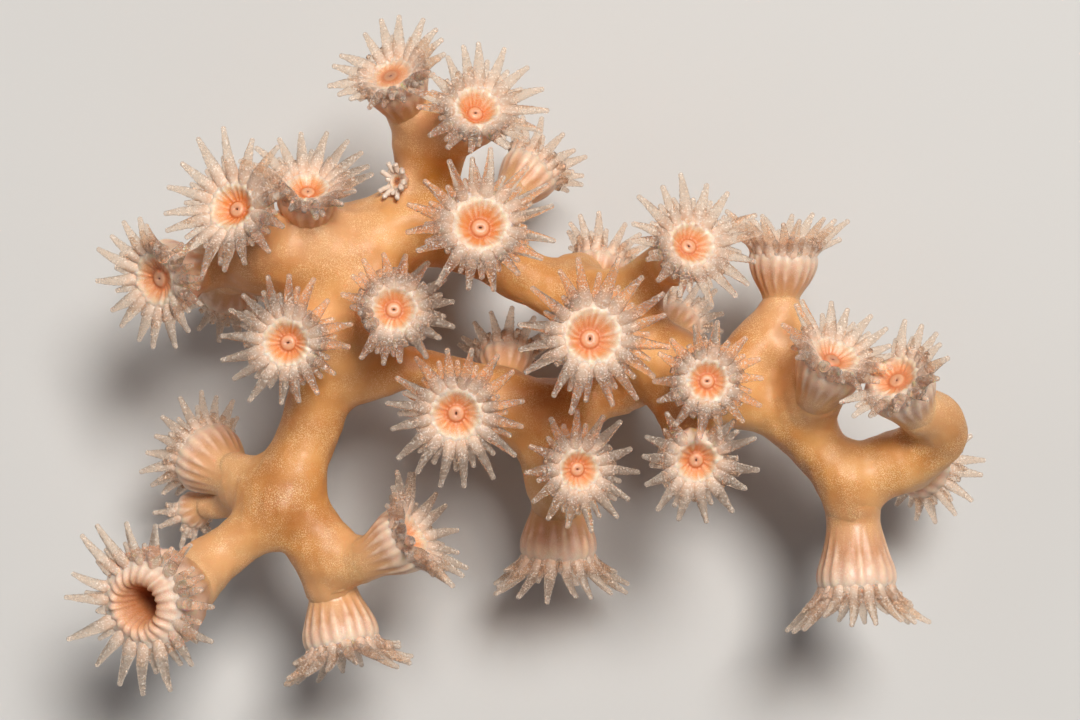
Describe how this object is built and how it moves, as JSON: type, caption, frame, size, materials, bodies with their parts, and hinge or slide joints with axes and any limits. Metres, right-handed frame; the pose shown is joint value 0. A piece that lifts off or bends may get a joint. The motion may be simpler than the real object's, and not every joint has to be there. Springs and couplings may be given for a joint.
{
  "type": "branching cold-water coral colony",
  "caption": "Branching coral colony with webbed forks and open tentacled polyps, standing on flat cut stems.",
  "frame": {"origin": "middle of the flat cut under the main stump, where the colony left its ground", "axes": "+Z away from the cut, toward the side that the picture shows; +X along the colony; +Y up the picture"},
  "size_m": [0.0834, 0.0607, 0.0372],
  "materials": {
    "branch_skin": "satin",
    "polyp": "gloss"
  },
  "bodies": {
    "root": {"trunk": "branch_skin", "main_stump": "branch_skin", "middle_stump": "branch_skin", "lower_stump": "branch_skin", "left_arm": "branch_skin", "upper_branch": "branch_skin", "upper_branch_outer": "branch_skin", "top_branch": "branch_skin", "lower_branch": "branch_skin", "lower_drop": "branch_skin", "cross_link": "branch_skin", "right_branch": "branch_skin", "right_fork_arm": "branch_skin", "right_web": "branch_skin", "far_right_arm": "branch_skin", "lower_fork_arm": "branch_skin", "polyp_top_left": "polyp", "polyp_top_right": "polyp", "polyp_top_back": "polyp", "polyp_top_bud": "polyp", "polyp_upper_front": "polyp", "polyp_left_upper": "polyp", "polyp_left_back": "polyp", "polyp_left_outer": "polyp", "polyp_left_hidden": "polyp", "polyp_trunk_left": "polyp", "polyp_trunk_right": "polyp", "polyp_lower_front": "polyp", "polyp_lower_hidden": "polyp", "polyp_lower_right": "polyp", "polyp_lower_bottom": "polyp", "polyp_centre_front": "polyp", "polyp_centre_back": "polyp", "polyp_centre_hidden": "polyp", "polyp_right_upper": "polyp", "polyp_right_front": "polyp", "polyp_right_lower": "polyp", "polyp_right_top": "polyp", "polyp_right_cup": "polyp", "polyp_far_right_front": "polyp", "polyp_far_right_back": "polyp", "polyp_far_right_bottom": "polyp", "polyp_bottom_left": "polyp", "polyp_bottom_back": "polyp", "polyp_bottom_small": "polyp", "polyp_bottom_down": "polyp", "polyp_bottom_right": "polyp"}
  },
  "joints": []
}
